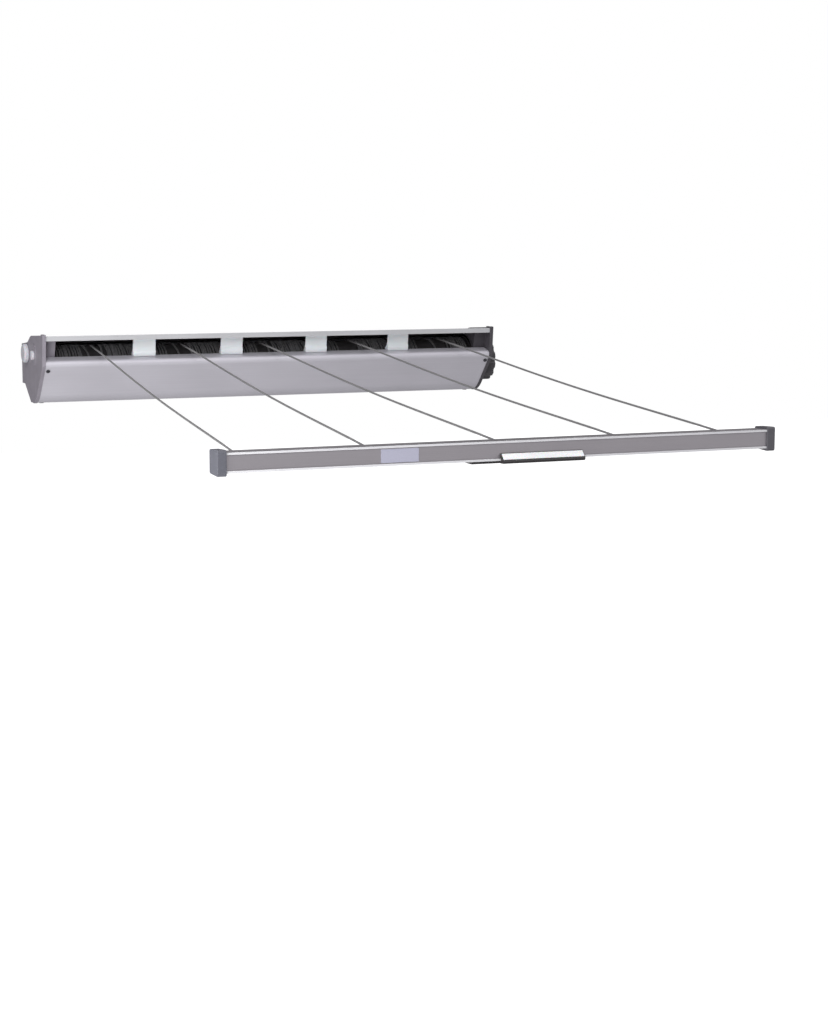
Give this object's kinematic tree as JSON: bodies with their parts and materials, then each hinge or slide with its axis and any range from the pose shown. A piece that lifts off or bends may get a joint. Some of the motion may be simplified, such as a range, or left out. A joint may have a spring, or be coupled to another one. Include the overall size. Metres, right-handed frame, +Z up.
{
  "type": "retractable clothesline",
  "caption": "Wall-hung clothesline: a long curved cabinet with a sprung cord roller, and a straight front bar that pulls the cords out.",
  "frame": {"origin": "on the wall plane, midway between the end caps, at mid height of the wall brackets", "axes": "+X along the cabinet to the right as seen from the room, +Y into the wall, +Z up"},
  "size_m": [0.8245, 1.0635, 0.1273],
  "materials": {
    "anodised_aluminium": "satin anodised",
    "white_plastic": "semi-gloss",
    "grey_plastic": "fine texture",
    "pale_plastic": "semi-gloss",
    "charcoal_plastic": "satin",
    "zinc_steel": "zinc plated",
    "spring_steel": "oiled",
    "dark_screws": "blackened",
    "cord_sheath": "matt extruded sheath",
    "crimp_brass": "crimped",
    "blank_label": "printed film, blank"
  },
  "bodies": {
    "cabinet": {"casing": "anodised_aluminium", "front_panel": "anodised_aluminium", "slot_spacer_1": "white_plastic", "slot_spacer_2": "white_plastic", "slot_spacer_3": "white_plastic", "slot_spacer_4": "white_plastic", "end_cap_left": "grey_plastic", "end_cap_right": "grey_plastic", "panel_screws": "dark_screws", "casing_screws": "dark_screws", "wall_bracket_left": "zinc_steel", "wall_bracket_right": "zinc_steel", "axle": "zinc_steel", "spring_anchor": "charcoal_plastic", "torsion_spring": "spring_steel", "pawl_pin": "zinc_steel", "button_spring": "spring_steel"},
    "roller": {"roller_tube": "zinc_steel", "spool_1": "charcoal_plastic", "spool_2": "charcoal_plastic", "spool_3": "charcoal_plastic", "spool_4": "charcoal_plastic", "spool_5": "charcoal_plastic", "wound_cord_1": "cord_sheath", "wound_cord_2": "cord_sheath", "wound_cord_3": "cord_sheath", "wound_cord_4": "cord_sheath", "wound_cord_5": "cord_sheath", "roller_plug_left": "charcoal_plastic", "roller_plug_right": "charcoal_plastic", "spring_hub": "charcoal_plastic", "ratchet_wheel": "zinc_steel", "hand_wheel": "charcoal_plastic", "hand_wheel_screw": "dark_screws"},
    "front_bar": {"bar_extrusion": "anodised_aluminium", "bar_cap_left": "grey_plastic", "bar_cap_right": "grey_plastic", "name_plate": "blank_label", "handle": "charcoal_plastic", "grip_top": "pale_plastic", "handle_screws": "dark_screws", "cord_bushes": "grey_plastic", "cord_stops": "crimp_brass", "cord_1": "cord_sheath", "cord_2": "cord_sheath", "cord_3": "cord_sheath", "cord_4": "cord_sheath", "cord_5": "cord_sheath"},
    "button": {"lock_button": "pale_plastic"},
    "pawl": {"lock_pawl": "zinc_steel"},
    "knob_left": {"bracket_knob_left": "pale_plastic"},
    "knob_right": {"bracket_knob_right": "pale_plastic"}
  },
  "joints": [
    {"name": "bar_pull", "type": "slide", "parent": "cabinet", "child": "front_bar", "axis": [0, -0.9951, -0.0985], "range_m": [-0.867, 3.333], "deforming": ["cord_1", "cord_2", "cord_3", "cord_4", "cord_5"]},
    {"name": "roller_turn", "type": "hinge", "parent": "cabinet", "child": "roller", "pos_m": [0, -0.086, -0.007], "axis": [1, 0, 0], "range_deg": [-1271, 4880], "deforming": ["torsion_spring"]},
    {"name": "button_press", "type": "slide", "parent": "cabinet", "child": "button", "axis": [1, 0, 0], "range_m": [0, 0.004], "deforming": ["button_spring"]},
    {"name": "pawl_lift", "type": "hinge", "parent": "cabinet", "child": "pawl", "pos_m": [-0.382, -0.062, 0.016], "axis": [1, 0, 0], "range_deg": [-6.1, 0]},
    {"name": "knob_left_turn", "type": "hinge", "parent": "cabinet", "child": "knob_left", "pos_m": [-0.395, -0.04, 0.0185], "axis": [1, 0, 0], "range_deg": [0, 90]},
    {"name": "knob_right_turn", "type": "hinge", "parent": "cabinet", "child": "knob_right", "pos_m": [0.395, -0.04, 0.0185], "axis": [1, 0, 0], "range_deg": [-90, 0]}
  ],
  "couplings": [
    {"joint": "roller_turn", "follows": "bar_pull", "rad_per_m": 25.543},
    {"joint": "pawl_lift", "follows": "button_press", "rad_per_m": -26.18}
  ]
}
